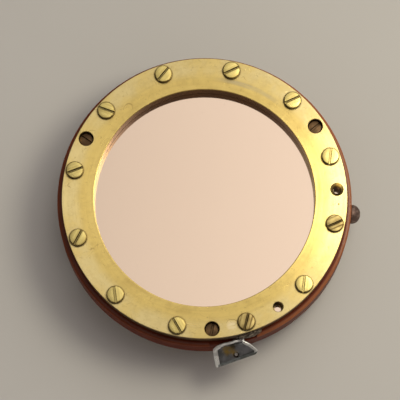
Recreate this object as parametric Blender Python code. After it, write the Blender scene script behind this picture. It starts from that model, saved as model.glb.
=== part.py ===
"""A 35 mm edge-terminated condenser microphone capsule with two diaphragms.

Two identical halves sit back to back on one insulating body ring. In each half a metallised film is
clamped between a thick brass ring and a thin one by twelve cheese-head screws, and three deeper
screws hold that pack to the body. A drilled backplate stands just behind each film.

Millimetres in the constants, metres in Blender. +Z leaves the front face, the origin is the middle
of the body ring. The rear half is the front half turned over about REAR_AXIS_DEG.
"""

import math

import bmesh
import bpy
from mathutils import Matrix, Vector

MM = 0.001
GAP = 0.03              # between faces that meet
SIDES = 60              # of a large ring
DRILL_SIDES = 8         # of a small hole
SCREW_SIDES = 12

# body ring
BODY_R = 17.65
BODY_HALF = 2.0         # half its height
BODY_ROUND = 0.25       # rounding of its outer edges
SEAT_R = 16.7           # recess for the thin ring
SEAT_Z = 1.0
BORE_R = 13.8           # recess for the backplate
WEB_R = 11.2            # inner edge of the web between the backplates
WEB_HALF = 0.55

# rings, film and backplate, as heights above the middle of the body
RING_R = 17.0
RING_BORE_R = 13.17
RING_BOTTOM = 2.09
RING_TOP = 4.2
RING_CHAMFER = 0.08
FILM_R = 16.6
FILM_BOTTOM = 2.0
FILM_THICK = 0.06
THIN_RING_R = 16.65
THIN_RING_BORE_R = 14.2
THIN_RING_TOP = 1.97
SPACER_BORE_R = 13.0
SPACER_R = 13.7
SPACER_THICK = 0.07
BACKPLATE_R = 13.7
BACKPLATE_TOP = 1.87
BACKPLATE_BOTTOM = WEB_HALF + GAP
BACKPLATE_HOLE_R = 0.6
BACKPLATE_HOLE_CIRCLES = ((1, 0.0), (6, 4.4), (12, 8.8))

# the damping pad lies in the web's bore
PAD_R = 11.1
PAD_HALF = 0.5

# twelve ring screws
SCREW_COUNT = 12
SCREW_CIRCLE = 15.8
SCREW_PHASE_DEG = 18.2
SCREW_HEAD_R = 1.03
SCREW_HEAD_H = 0.5
SHANK_R = 0.45
SHANK_HOLE_R = 0.53
SLOT_WIDTH = 0.28
SLOT_DEPTH = 0.26

# three mounting screws, sunk in the clamp ring half-way between ring screws
MOUNT_COUNT = 3
MOUNT_CIRCLE = 15.85
MOUNT_PHASE_DEG = SCREW_PHASE_DEG + 15
MOUNT_HOLE_R = 0.88
MOUNT_FLOOR = 3.05      # height of the counterbore's floor
MOUNT_HEAD_R = 0.8
MOUNT_HEAD_H = 0.45
MOUNT_TIP = -0.25
MOUNT_HOLE_END = -0.45

# two small holes through the clamp ring
DOWEL_HOLE = {"deg": SCREW_PHASE_DEG - 14.8, "top_r": 0.8, "core_r": 0.42, "cone": 0.45}
SIGHT_HOLE = {"deg": SCREW_PHASE_DEG + 285.2, "r": 0.62, "core_r": 0.42, "step": 2.7}

# three screws through each backplate into the web
PLATE_SCREW_CIRCLE = 12.3
PLATE_SCREW_HEAD_R = 0.75
PLATE_SCREW_SINK = 0.4
PLATE_SCREW_PHASE_DEG = 48.2

# terminals
TAG_DEG = -79.0
TAG_THICK = 0.28
TAG_LEVEL = 1.69
TAG_BEND_V = 17.62
TAG_SLOPE_DEG = 27.0
TAG_WIRE_HOLE = (-0.17, 18.96, 0.38)
NOTCH = {"u": (-3.0, 2.75), "v": (16.72, 18.6), "z": (1.62, 2.3)}
TERMINAL_DEG = -4.1
TERMINAL_DOME_R = 1.15
TERMINAL_SHANK_R = 0.5
TERMINAL_TIP_R = 13.5
BLOCK_RADIAL = (12.0, 13.4)
BLOCK_WIDTH = 1.6
BLOCK_HALF = 0.52

REAR_AXIS_DEG = SCREW_PHASE_DEG + 45

# slot directions, one for each ring screw in turn
FRONT_SLOTS_DEG = (83, 25, 25, 51, -20, 21, 62, 98, -60, 75, 83, 24)
REAR_SLOTS_DEG = (12, -48, 70, 33, 95, -15, 58, 4, 81, -66, 39, 110)
MOUNT_SLOTS_DEG = (40, -35, 78)
PLATE_SLOTS_DEG = (15, 64, -50)


def clear_scene():
    for thing in list(bpy.data.objects):
        bpy.data.objects.remove(thing, do_unlink=True)


def material(name, colour, roughness, metallic=0.0):
    made = bpy.data.materials.new(name)
    made.use_nodes = True
    shader = made.node_tree.nodes["Principled BSDF"]
    shader.inputs["Base Color"].default_value = (*colour, 1.0)
    shader.inputs["Roughness"].default_value = roughness
    shader.inputs["Metallic"].default_value = metallic
    return made


def add_object(name, mesh, look=None, parent=None):
    made = bpy.data.objects.new(name, mesh)
    bpy.context.scene.collection.objects.link(made)
    if look:
        mesh.materials.clear()
        mesh.materials.append(look)
    made.parent = parent
    return made


def mesh_from(name, bm):
    bmesh.ops.recalc_face_normals(bm, faces=bm.faces)
    mesh = bpy.data.meshes.new(name)
    bm.to_mesh(mesh)
    bm.free()
    mesh.shade_smooth()
    mesh.set_sharp_from_angle(angle=math.radians(35))
    return mesh


def spin_into(bm, profile, sides, closed=True, centre=(0.0, 0.0)):
    """Turn (radius, height) points about the vertical through centre; an open one ends on the axis."""
    start = [bm.verts.new((r * MM, 0, z * MM)) for r, z in profile]
    pairs = list(zip(start, start[1:])) + ([(start[-1], start[0])] if closed else [])
    edges = [bm.edges.new(pair) for pair in pairs]
    bmesh.ops.spin(
        bm, geom=start + edges, cent=(0, 0, 0), axis=(0, 0, 1), angle=2 * math.pi,
        steps=sides, use_merge=True)
    fresh = [v for v in bm.verts if not v.tag]
    bmesh.ops.remove_doubles(bm, verts=fresh, dist=1e-7)
    fresh = [v for v in bm.verts if not v.tag]
    bmesh.ops.translate(bm, verts=fresh, vec=(centre[0] * MM, centre[1] * MM, 0))
    for vert in fresh:
        vert.tag = True


def turned(name, profile, sides=SIDES, closed=True):
    bm = bmesh.new()
    spin_into(bm, profile, sides, closed)
    return mesh_from(name, bm)


def at(radius, degrees):
    angle = math.radians(degrees)
    return radius * math.cos(angle), radius * math.sin(angle)


def spaced(count, phase):
    return [phase + 360 / count * i for i in range(count)]


def drill_into(bm, centre, steps, sides=DRILL_SIDES):
    """A stepped or tapered drill: steps are (radius, height) from the top down."""
    profile = [(0, steps[0][1]), *steps, (0, steps[-1][1])]
    spin_into(bm, profile, sides, closed=False, centre=centre)


def cutter(name, bm, parent=None):
    made = add_object(name, mesh_from(name, bm), parent=parent)
    made.hide_render = True
    made.display_type = "WIRE"
    return made


def cut(target, tool):
    boolean = target.modifiers.new("cut_" + tool.name, "BOOLEAN")
    boolean.operation = "DIFFERENCE"
    boolean.object = tool


def block_into(bm, u, v, z, degrees):
    """A box from u and v ranges: v runs outwards at the azimuth degrees, and u clockwise from it."""
    place = Matrix.Rotation(math.radians(degrees - 90), 4, "Z")
    size = Matrix.Diagonal(((u[1] - u[0]) * MM, (v[1] - v[0]) * MM, (z[1] - z[0]) * MM, 1))
    middle = Vector(((u[0] + u[1]) / 2, (v[0] + v[1]) / 2, (z[0] + z[1]) / 2)) * MM
    bmesh.ops.create_cube(bm, size=1, matrix=place @ Matrix.Translation(middle) @ size)


def baked(name, source, tool):
    """The mesh of source with tool cut out of it, as screws that share one mesh need."""
    cut(source, tool)
    bpy.context.view_layer.update()
    shaped = source.evaluated_get(bpy.context.evaluated_depsgraph_get())
    mesh = bpy.data.meshes.new_from_object(shaped)
    mesh.name = name
    mesh.shade_smooth()
    mesh.set_sharp_from_angle(angle=math.radians(35))
    for thing in (source, tool):
        bpy.data.objects.remove(thing, do_unlink=True)
    return mesh


def slotted(name, profile, top, slot_depth=SLOT_DEPTH, reach=SCREW_HEAD_R):
    """A slotted screw about its own axis, from a half profile that ends on the axis."""
    blank = add_object(name + "_blank", turned(name + "_blank", profile, SCREW_SIDES, closed=False))
    bm = bmesh.new()
    block_into(bm, (-reach - 0.2, reach + 0.2), (-SLOT_WIDTH / 2, SLOT_WIDTH / 2),
               (top - slot_depth, top + 0.3), 90)
    return baked(name, blank, cutter(name + "_slot", bm))


# ---- pieces of one half, in the front half's own frame ----

def ring_screw_mesh():
    under = RING_TOP + GAP
    top = under + SCREW_HEAD_H
    profile = [(0, 1.08), (SHANK_R, 1.08), (SHANK_R, under), (SCREW_HEAD_R, under),
               (SCREW_HEAD_R, top - 0.06), (SCREW_HEAD_R - 0.06, top), (0, top)]
    return slotted("ring_screw", profile, top)


def mounting_screw_mesh():
    under = MOUNT_FLOOR + GAP
    top = under + MOUNT_HEAD_H
    profile = [(0, MOUNT_TIP), (SHANK_R, MOUNT_TIP), (SHANK_R, under), (MOUNT_HEAD_R, under),
               (MOUNT_HEAD_R, top), (0, top)]
    return slotted("mounting_screw", profile, top, reach=MOUNT_HEAD_R)


def plate_screw_mesh():
    top = BACKPLATE_TOP - 0.05
    neck = top - PLATE_SCREW_SINK
    profile = [(0, -WEB_HALF + 0.05), (SHANK_R, -WEB_HALF + 0.05), (SHANK_R, neck),
               (PLATE_SCREW_HEAD_R, top), (0, top)]
    return slotted("plate_screw", profile, top, slot_depth=0.2, reach=PLATE_SCREW_HEAD_R)


def ring_holes(bm, top, bottom, screw_r, mount_steps):
    """The two screw patterns that every flat piece of the pack shares."""
    for degrees in spaced(SCREW_COUNT, SCREW_PHASE_DEG):
        drill_into(bm, at(SCREW_CIRCLE, degrees), [(screw_r, top), (screw_r, bottom)])
    for degrees in spaced(MOUNT_COUNT, MOUNT_PHASE_DEG):
        drill_into(bm, at(MOUNT_CIRCLE, degrees), mount_steps)


def clamp_ring(side, half, brass):
    c = RING_CHAMFER
    profile = [(RING_R, RING_BOTTOM), (RING_R, RING_TOP - c), (RING_R - c, RING_TOP),
               (RING_BORE_R + c, RING_TOP), (RING_BORE_R, RING_TOP - c), (RING_BORE_R, RING_BOTTOM)]
    ring = add_object(side + "_clamp_ring", turned(side + "_clamp_ring", profile), brass, half)
    above, below = RING_TOP + 0.5, RING_BOTTOM - 0.5
    bm = bmesh.new()
    ring_holes(bm, above, below, SHANK_HOLE_R,
               [(MOUNT_HOLE_R, above), (MOUNT_HOLE_R, MOUNT_FLOOR),
                (SHANK_HOLE_R, MOUNT_FLOOR), (SHANK_HOLE_R, below)])
    top_r, core_r, cone = DOWEL_HOLE["top_r"], DOWEL_HOLE["core_r"], DOWEL_HOLE["cone"]
    drill_into(bm, at(SCREW_CIRCLE, DOWEL_HOLE["deg"]),
               [(top_r, above), (top_r, RING_TOP - 0.06), (core_r, RING_TOP - cone), (core_r, below)], 12)
    wide, core_r, step = SIGHT_HOLE["r"], SIGHT_HOLE["core_r"], SIGHT_HOLE["step"]
    drill_into(bm, at(SCREW_CIRCLE, SIGHT_HOLE["deg"]),
               [(wide, above), (wide, step), (core_r, step), (core_r, below)], 12)
    cut(ring, cutter(side + "_clamp_drills", bm, half))


def diaphragm(side, half, film):
    top = FILM_BOTTOM + FILM_THICK
    profile = [(0, FILM_BOTTOM), (FILM_R, FILM_BOTTOM), (FILM_R, top), (0, top)]
    sheet = add_object(side + "_diaphragm", turned(side + "_diaphragm", profile, SIDES, False), film, half)
    bm = bmesh.new()
    ring_holes(bm, top + 0.3, FILM_BOTTOM - 0.3, 0.58,
               [(0.58, top + 0.3), (0.58, FILM_BOTTOM - 0.3)])
    cut(sheet, cutter(side + "_film_punches", bm, half))


def tension_ring(side, half, brass):
    low, top = SEAT_Z + GAP, THIN_RING_TOP
    profile = [(THIN_RING_R, low), (THIN_RING_R, top), (THIN_RING_BORE_R, top), (THIN_RING_BORE_R, low)]
    ring = add_object(side + "_tension_ring", turned(side + "_tension_ring", profile), brass, half)
    bm = bmesh.new()
    ring_holes(bm, top + 0.3, low - 0.3, SHANK_HOLE_R - 0.02,
               [(SHANK_HOLE_R, top + 0.3), (SHANK_HOLE_R, low - 0.3)])
    cut(ring, cutter(side + "_tension_drills", bm, half))


def spacer_ring(side, half, insulator):
    top = BACKPLATE_TOP + GAP + SPACER_THICK
    low = top - SPACER_THICK
    profile = [(SPACER_R, low), (SPACER_R, top), (SPACER_BORE_R, top), (SPACER_BORE_R, low)]
    add_object(side + "_spacer_ring", turned(side + "_spacer_ring", profile, 48), insulator, half)


def backplate(side, half, brass):
    low, top = BACKPLATE_BOTTOM, BACKPLATE_TOP
    profile = [(0, low), (BACKPLATE_R, low), (BACKPLATE_R, top), (0, top)]
    plate = add_object(side + "_backplate", turned(side + "_backplate", profile, 48, False), brass, half)
    bm = bmesh.new()
    through = [(BACKPLATE_HOLE_R, top + 0.3), (BACKPLATE_HOLE_R, low - 0.3)]
    for count, radius in BACKPLATE_HOLE_CIRCLES:
        for degrees in spaced(count, 15 if count == 12 else 0):
            drill_into(bm, at(radius, degrees), through)
    wide, neck = PLATE_SCREW_HEAD_R + 0.05, SHANK_HOLE_R
    for degrees in spaced(MOUNT_COUNT, PLATE_SCREW_PHASE_DEG):
        drill_into(bm, at(PLATE_SCREW_CIRCLE, degrees),
                   [(wide, top + 0.2), (wide, top - 0.05),
                    (neck, top - 0.05 - PLATE_SCREW_SINK), (neck, low - 0.3)], SCREW_SIDES)
    cut(plate, cutter(side + "_backplate_drills", bm, half))


def screws(side, half, looks, meshes, slots):
    """Ring, mounting and backplate screws; each stands on its own axis."""
    ring_look, mount_look, plate_look = looks
    ring_mesh, mount_mesh, plate_mesh = meshes
    rows = [
        (f"{side}_ring_screw_{{:02d}}", ring_mesh, ring_look, SCREW_CIRCLE,
         spaced(SCREW_COUNT, SCREW_PHASE_DEG), slots),
        (f"{side}_mounting_screw_{{}}", mount_mesh, mount_look, MOUNT_CIRCLE,
         spaced(MOUNT_COUNT, MOUNT_PHASE_DEG), MOUNT_SLOTS_DEG),
        (f"{side}_backplate_screw_{{}}", plate_mesh, plate_look, PLATE_SCREW_CIRCLE,
         spaced(MOUNT_COUNT, PLATE_SCREW_PHASE_DEG), PLATE_SLOTS_DEG),
    ]
    for name, mesh, look, radius, places, turns in rows:
        for number, (degrees, turn) in enumerate(zip(places, turns), 1):
            screw = add_object(name.format(number), mesh, look, half)
            x, y = at(radius, degrees)
            screw.location = (x * MM, y * MM, 0)
            screw.rotation_euler.z = math.radians(turn)


# ---- body, damping pad and terminals ----

def body_ring(halves, insulator):
    r, z, b = BODY_R, BODY_HALF, BODY_ROUND
    upper = [(r, z - b), (r - b * 0.29, z - b * 0.29), (r - b, z), (SEAT_R, z), (SEAT_R, SEAT_Z),
             (BORE_R, SEAT_Z), (BORE_R, WEB_HALF), (WEB_R, WEB_HALF)]
    profile = upper + [(radius, -height) for radius, height in reversed(upper)]
    body = add_object("body_ring", turned("body_ring", profile), insulator)
    for side, half in halves.items():
        bm = bmesh.new()
        for degrees in spaced(MOUNT_COUNT, MOUNT_PHASE_DEG):
            drill_into(bm, at(MOUNT_CIRCLE, degrees),
                       [(SHANK_HOLE_R, SEAT_Z + 0.5), (SHANK_HOLE_R, MOUNT_HOLE_END)])
        for degrees in spaced(MOUNT_COUNT, PLATE_SCREW_PHASE_DEG):
            drill_into(bm, at(PLATE_SCREW_CIRCLE, degrees),
                       [(SHANK_HOLE_R, WEB_HALF + 0.2), (SHANK_HOLE_R, -WEB_HALF - 0.2)])
        block_into(bm, NOTCH["u"], NOTCH["v"], NOTCH["z"], TAG_DEG)
        cut(body, cutter(side + "_body_drills", bm, half))
    bm = bmesh.new()
    block_into(bm, (-BLOCK_WIDTH / 2 - 0.1, BLOCK_WIDTH / 2 + 0.1),
               (BLOCK_RADIAL[0] - 0.1, BLOCK_RADIAL[1] + 0.05), (-WEB_HALF - 0.2, WEB_HALF + 0.2),
               TERMINAL_DEG)
    cut(body, cutter("block_pocket", bm))
    bm = bmesh.new()
    spin_into(bm, [(0, BLOCK_RADIAL[1] - 0.2), (TERMINAL_SHANK_R + 0.06, BLOCK_RADIAL[1] - 0.2),
                   (TERMINAL_SHANK_R + 0.06, BODY_R + 1), (0, BODY_R + 1)], SCREW_SIDES, closed=False)
    tunnel = cutter("terminal_tunnel", bm)
    tunnel.rotation_euler = radial(TERMINAL_DEG)
    cut(body, tunnel)


def radial(degrees):
    """The rotation that lays a piece turned about +Z along the azimuth degrees."""
    return (Matrix.Rotation(math.radians(degrees), 3, "Z") @ Matrix.Rotation(math.pi / 2, 3, "Y")).to_euler()


def backplate_terminal(look):
    """A round-headed pin through the body's wall at mid height."""
    seat = BODY_R + GAP
    dome = [(TERMINAL_DOME_R * math.cos(a), seat + TERMINAL_DOME_R * math.sin(a))
            for a in (math.pi / 2 * i / 6 for i in range(7))]
    profile = [(0, TERMINAL_TIP_R), (TERMINAL_SHANK_R, TERMINAL_TIP_R), (TERMINAL_SHANK_R, seat), *dome[:-1],
               (0, seat + TERMINAL_DOME_R)]
    pin = add_object("backplate_terminal", turned("backplate_terminal", profile, 16, closed=False), look)
    pin.rotation_euler = radial(TERMINAL_DEG)


def contact_block(look):
    bm = bmesh.new()
    block_into(bm, (-BLOCK_WIDTH / 2, BLOCK_WIDTH / 2), BLOCK_RADIAL, (-BLOCK_HALF, BLOCK_HALF), TERMINAL_DEG)
    add_object("contact_block", mesh_from("contact_block", bm), look)


def damping_pad(look):
    profile = [(0, -PAD_HALF), (PAD_R, -PAD_HALF), (PAD_R, PAD_HALF), (0, PAD_HALF)]
    add_object("damping_pad", turned("damping_pad", profile, 48, closed=False), look)


def sheet_tag(name, outline, bend, half, look):
    """A flat outline in (u, v), extruded to the sheet's thickness and bent along v = bend[0]."""
    bm = bmesh.new()
    flat = bm.faces.new([bm.verts.new((u * MM, v * MM, TAG_LEVEL * MM)) for u, v in outline])
    grown = bmesh.ops.extrude_face_region(bm, geom=[flat])
    raised = [e for e in grown["geom"] if isinstance(e, bmesh.types.BMVert)]
    bmesh.ops.translate(bm, verts=raised, vec=(0, 0, TAG_THICK * MM))
    line, slope = bend
    bmesh.ops.bisect_plane(bm, geom=bm.verts[:] + bm.edges[:] + bm.faces[:],
                           plane_co=(0, line * MM, 0), plane_no=(0, 1, 0))
    beyond = [v for v in bm.verts if v.co.y > line * MM + 1e-7]
    bmesh.ops.rotate(bm, verts=beyond, cent=(0, line * MM, TAG_LEVEL * MM),
                     matrix=Matrix.Rotation(-math.radians(slope), 3, "X"))
    bmesh.ops.rotate(bm, verts=bm.verts, cent=(0, 0, 0),
                     matrix=Matrix.Rotation(math.radians(TAG_DEG - 90), 3, "Z"))
    return add_object(name, mesh_from(name, bm), look, half)


def front_tag(half, look):
    outline = [(-0.1, 16.78), (-0.1, 17.22), (1.2, 17.28), (2.1, 17.52), (2.45, 17.78), (2.5, 18.0),
               (2.5, 19.95), (2.3, 20.1), (-2.5, 19.35), (-2.75, 19.05), (-2.75, 18.75), (-1.9, 17.8),
               (-1.4, 17.5), (-1.4, 16.78)]
    tag = sheet_tag("front_terminal_tag", outline, (TAG_BEND_V, TAG_SLOPE_DEG), half, look)
    u, v, r = TAG_WIRE_HOLE
    bm = bmesh.new()
    place = Matrix.Rotation(math.radians(TAG_DEG - 90), 3, "Z") @ Vector((u, v, 0))
    drill_into(bm, (place.x, place.y), [(r, 3.0), (r, -1.5)], 12)
    cut(tag, cutter("tag_wire_drill", bm, half))


def rear_tag(half, look):
    """The same kind of tag left folded flat against the ring."""
    bm = bmesh.new()
    block_into(bm, (-2.0, 2.0), (17.04, 17.04 + TAG_THICK), (TAG_LEVEL, 3.9), TAG_DEG)
    fold = add_object("rear_terminal_tag", mesh_from("rear_terminal_tag", bm), look, half)
    bm = bmesh.new()
    block_into(bm, (-0.7, 0.7), (16.78, 17.2), (TAG_LEVEL, TAG_LEVEL + TAG_THICK), TAG_DEG)
    stem = cutter("rear_tag_stem", bm, half)
    join = fold.modifiers.new("stem", "BOOLEAN")
    join.operation = "UNION"
    join.object = stem


def solder(name, half, look, start, end, low, high, reach):
    """A fillet of solder between ring and tag, fuller in the middle and drawn in at both ends."""
    bm = bmesh.new()
    stations = 9
    inner = RING_R + GAP
    loops = []
    for i in range(stations):
        share = i / (stations - 1)
        full = 0.5 + 0.5 * math.sin(math.pi * share) ** 0.4
        wobble = 1 + 0.08 * math.sin(5.1 * i)
        top = low + (high - low) * full * wobble
        out = inner + (reach - inner) * full
        degrees = start + (end - start) * share
        section = [(inner, low), (out, low), (out - 0.03, low + (top - low) * 0.35),
                   (inner + (out - inner) * 0.5, low + (top - low) * 0.75), (inner, top)]
        loops.append([bm.verts.new(Vector((*at(r, degrees), z)) * MM) for r, z in section])
    for one, two in zip(loops, loops[1:]):
        for k in range(len(one)):
            j = (k + 1) % len(one)
            bm.faces.new((one[k], one[j], two[j], two[k]))
    bm.faces.new(loops[0])
    bm.faces.new(reversed(loops[-1]))
    add_object(name, mesh_from(name, bm), look, half)


def main():
    clear_scene()
    brass = material("brass", (0.72, 0.53, 0.25), 0.32, 1.0)
    screw_brass = material("screw_brass", (0.66, 0.50, 0.24), 0.35, 1.0)
    plate_brass = material("plate_brass", (0.68, 0.50, 0.24), 0.30, 1.0)
    film = material("metallised_film", (0.83, 0.66, 0.54), 0.08, 1.0)
    hard_rubber = material("hard_rubber", (0.13, 0.035, 0.018), 0.18)
    spacer_film = material("spacer_film", (0.60, 0.45, 0.25), 0.4)
    felt = material("felt", (0.42, 0.38, 0.32), 0.9)
    plated = material("plated_tag", (0.55, 0.53, 0.50), 0.15, 1.0)
    tin_lead = material("solder", (0.38, 0.36, 0.34), 0.45, 1.0)
    blackened = material("blackened_pin", (0.10, 0.085, 0.09), 0.35, 0.6)

    halves = {}
    for side in ("front", "rear"):
        halves[side] = add_object(side + "_half", None)
    axis = Vector((*at(1, REAR_AXIS_DEG), 0))
    halves["rear"].rotation_euler = Matrix.Rotation(math.pi, 3, axis).to_euler()

    meshes = (ring_screw_mesh(), mounting_screw_mesh(), plate_screw_mesh())
    for side, slots in (("front", FRONT_SLOTS_DEG), ("rear", REAR_SLOTS_DEG)):
        half = halves[side]
        clamp_ring(side, half, brass)
        diaphragm(side, half, film)
        tension_ring(side, half, brass)
        spacer_ring(side, half, spacer_film)
        backplate(side, half, plate_brass)
        screws(side, half, (screw_brass,) * 3, meshes, slots)

    body_ring(halves, hard_rubber)
    damping_pad(felt)
    backplate_terminal(blackened)
    contact_block(plate_brass)
    front_tag(halves["front"], plated)
    rear_tag(halves["rear"], plated)
    ledge = BODY_HALF + GAP
    solder("front_tag_solder", halves["front"], tin_lead, -76.6, -66.4, ledge, 3.5, 17.42)
    solder("rear_tag_solder", halves["rear"], tin_lead, -71.6, -66.0, ledge, 3.3, 17.4)


main()
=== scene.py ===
"""Condenser microphone capsule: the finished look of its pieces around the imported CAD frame.

Lengths in the constants are millimetres, and the frame is the CAD's: +Z leaves the front face and the
origin is the middle of the body ring. The rear half is the front half turned over about REAR_AXIS_DEG.
"""

import math

import bmesh
import bpy
from mathutils import Matrix, Vector, noise


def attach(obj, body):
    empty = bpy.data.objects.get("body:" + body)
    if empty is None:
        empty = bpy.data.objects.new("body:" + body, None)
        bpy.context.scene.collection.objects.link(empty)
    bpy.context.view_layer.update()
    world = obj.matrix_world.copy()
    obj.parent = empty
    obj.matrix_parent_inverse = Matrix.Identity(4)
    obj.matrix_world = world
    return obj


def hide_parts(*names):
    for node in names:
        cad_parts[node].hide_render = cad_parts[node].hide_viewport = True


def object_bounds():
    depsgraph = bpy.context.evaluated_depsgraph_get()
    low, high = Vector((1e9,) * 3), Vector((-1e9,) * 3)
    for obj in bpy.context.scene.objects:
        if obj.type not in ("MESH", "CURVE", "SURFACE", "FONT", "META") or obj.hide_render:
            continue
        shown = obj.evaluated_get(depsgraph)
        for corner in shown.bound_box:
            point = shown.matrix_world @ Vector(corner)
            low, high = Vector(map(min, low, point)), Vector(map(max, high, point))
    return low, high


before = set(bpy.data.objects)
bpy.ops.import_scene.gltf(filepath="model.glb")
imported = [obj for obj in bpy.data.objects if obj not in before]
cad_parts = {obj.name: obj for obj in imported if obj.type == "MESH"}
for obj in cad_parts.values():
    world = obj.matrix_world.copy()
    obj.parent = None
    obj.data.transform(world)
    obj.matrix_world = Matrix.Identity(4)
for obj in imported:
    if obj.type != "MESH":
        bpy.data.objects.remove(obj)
cad_low, cad_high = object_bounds()

MM = 0.001
ROUND = 192             # segments of a large turned piece
SMALL_ROUND = 48        # segments of a screw head or a wide hole
DRILL_ROUND = 24        # segments of a narrow hole
CLEAR = 0.2             # how far a cutter reaches past what it cuts

# the CAD's own sizes
BODY_R, BODY_HALF = 17.65, 2.0
SEAT_R, SEAT_Z, BORE_R, WEB_R, WEB_HALF = 16.7, 1.0, 13.8, 11.2, 0.55
RING_R, RING_BORE_R, RING_BOTTOM, RING_TOP = 17.0, 13.17, 2.09, 4.2
SCREW_CIRCLE, SCREW_PHASE = 15.8, 18.2
HEAD_R, HEAD_UNDER, HEAD_TOP = 1.03, 4.23, 4.73
SHANK_R, SHANK_HOLE_R, SHANK_END = 0.45, 0.53, 1.08
SLOT_WIDTH, SLOT_DEPTH = 0.28, 0.26
MOUNT_CIRCLE, MOUNT_PHASE = 15.85, SCREW_PHASE + 15
MOUNT_HOLE_R, MOUNT_FLOOR, MOUNT_HOLE_END = 0.88, 3.05, -0.45
MOUNT_HEAD_R, MOUNT_UNDER, MOUNT_TOP, MOUNT_TIP = 0.8, 3.08, 3.53, -0.25
PLATE_SCREW_CIRCLE, PLATE_SCREW_PHASE = 12.3, 48.2
TAG_DEG, TAG_LEVEL, TAG_THICK, TAG_BEND, TAG_SLOPE = -79.0, 1.69, 0.28, 17.62, 27.0
TAG_HOLE, STEM_END = (-0.17, 18.96), 17.27
TAG_NOTCH_U, TAG_NOTCH_V, TAG_NOTCH_Z = (-3.0, 2.75), (16.72, 18.6), (1.62, 2.3)
TERMINAL_DEG, TERMINAL_SEAT, TERMINAL_DOME_R, TERMINAL_TIP = -4.1, 17.68, 1.15, 13.5
TERMINAL_SHANK_R, TUNNEL_R = 0.5, 0.56
SOLDER_REACH, SOLDER_LIMIT = (17.42, 17.4), 17.46
DOWEL_DEG, DOWEL_HOLE_R, DOWEL_SINK_R = SCREW_PHASE - 14.8, 0.42, 0.8
SIGHT_DEG, SIGHT_R, SIGHT_CORE_R, SIGHT_STEP = SCREW_PHASE + 285.2, 0.6, 0.4, 2.7
REAR_AXIS_DEG = SCREW_PHASE + 45

# what is one screw's own
FRONT_SLOTS = (83, 25, 25, 51, -20, 21, 62, 98, -60, 75, 83, 24)
REAR_SLOTS = (12, -48, 70, 33, 95, -15, 58, 4, 81, -66, 39, 110)
MOUNT_SLOTS = (40, -35, 78)
CLEAN_LIGHT_SHADE_SCREWS, BROWN_HEADS = (0, 7, 10), (9, 11)

# marks on the clamp rings' faces
SCRAPE, PIT = (3.2, -15.5), (15.98, -0.85)
SMEAR_R, SMEAR_DEG = 14.5, 68

TURNED_OVER = Matrix.Rotation(
    math.pi, 4, Vector((math.cos(math.radians(REAR_AXIS_DEG)), math.sin(math.radians(REAR_AXIS_DEG)), 0)))
HALVES = {"front": Matrix.Identity(4), "rear": TURNED_OVER}


# ---- meshes ----

def finish_mesh(name, bm, sharp=32):
    bmesh.ops.recalc_face_normals(bm, faces=bm.faces)
    mesh = bpy.data.meshes.new(name)
    bm.to_mesh(mesh)
    bm.free()
    mesh.shade_smooth()
    mesh.set_sharp_from_angle(angle=math.radians(sharp))
    return mesh


def soften(points, radii, steps=4):
    """Round the corners of a line of points: radii is one radius for each point, 0 for a sharp one."""
    out, count = [], len(points)
    for i, (point, radius) in enumerate(zip(points, radii)):
        here = Vector(point)
        if not radius:
            out.append(tuple(here))
            continue
        before, after = Vector(points[i - 1]), Vector(points[(i + 1) % count])
        a = here + (before - here).normalized() * radius
        b = here + (after - here).normalized() * radius
        for k in range(steps + 1):
            t = k / steps
            out.append(tuple(a * (1 - t) ** 2 + here * 2 * t * (1 - t) + b * t * t))
    return out


def turn_into(bm, profile, segments, closed=True, centre=(0.0, 0.0)):
    """Turn (radius, height) points about the vertical through centre; an open profile ends on the axis."""
    angles = [2 * math.pi * k / segments for k in range(segments)]
    rings = []
    for radius, height in profile:
        around = angles if radius > 1e-6 else [0.0]
        rings.append([
            bm.verts.new(((centre[0] + radius * math.cos(a)) * MM, (centre[1] + radius * math.sin(a)) * MM,
                          height * MM))
            for a in around])
    pairs = list(zip(rings, rings[1:])) + ([(rings[-1], rings[0])] if closed else [])
    for low, high in pairs:
        for k in range(segments):
            j = (k + 1) % segments
            corners = (low[k % len(low)], low[j % len(low)], high[j % len(high)], high[k % len(high)])
            corners = list(dict.fromkeys(corners))
            if len(corners) > 2:
                bm.faces.new(corners)


def turned(name, profile, segments=ROUND, closed=True):
    bm = bmesh.new()
    turn_into(bm, profile, segments, closed)
    return finish_mesh(name, bm)


def prism_into(bm, section, start, end, place):
    """Extrude a section of (across, height) points along local X from start to end, then place it."""
    ends = [[bm.verts.new(place @ (Vector((x, across, height)) * MM)) for across, height in section]
            for x in (start, end)]
    for k in range(len(section)):
        j = (k + 1) % len(section)
        bm.faces.new((ends[0][k], ends[0][j], ends[1][j], ends[1][k]))
    bm.faces.new(ends[0])
    bm.faces.new(reversed(ends[1]))


def block_into(bm, u, v, z, degrees):
    """A box from u and v ranges: v runs outwards at the azimuth degrees, and u clockwise from it."""
    section = [(v[0], z[0]), (v[1], z[0]), (v[1], z[1]), (v[0], z[1])]
    prism_into(bm, section, u[0], u[1], Matrix.Rotation(math.radians(degrees - 90), 4, "Z"))


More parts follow.
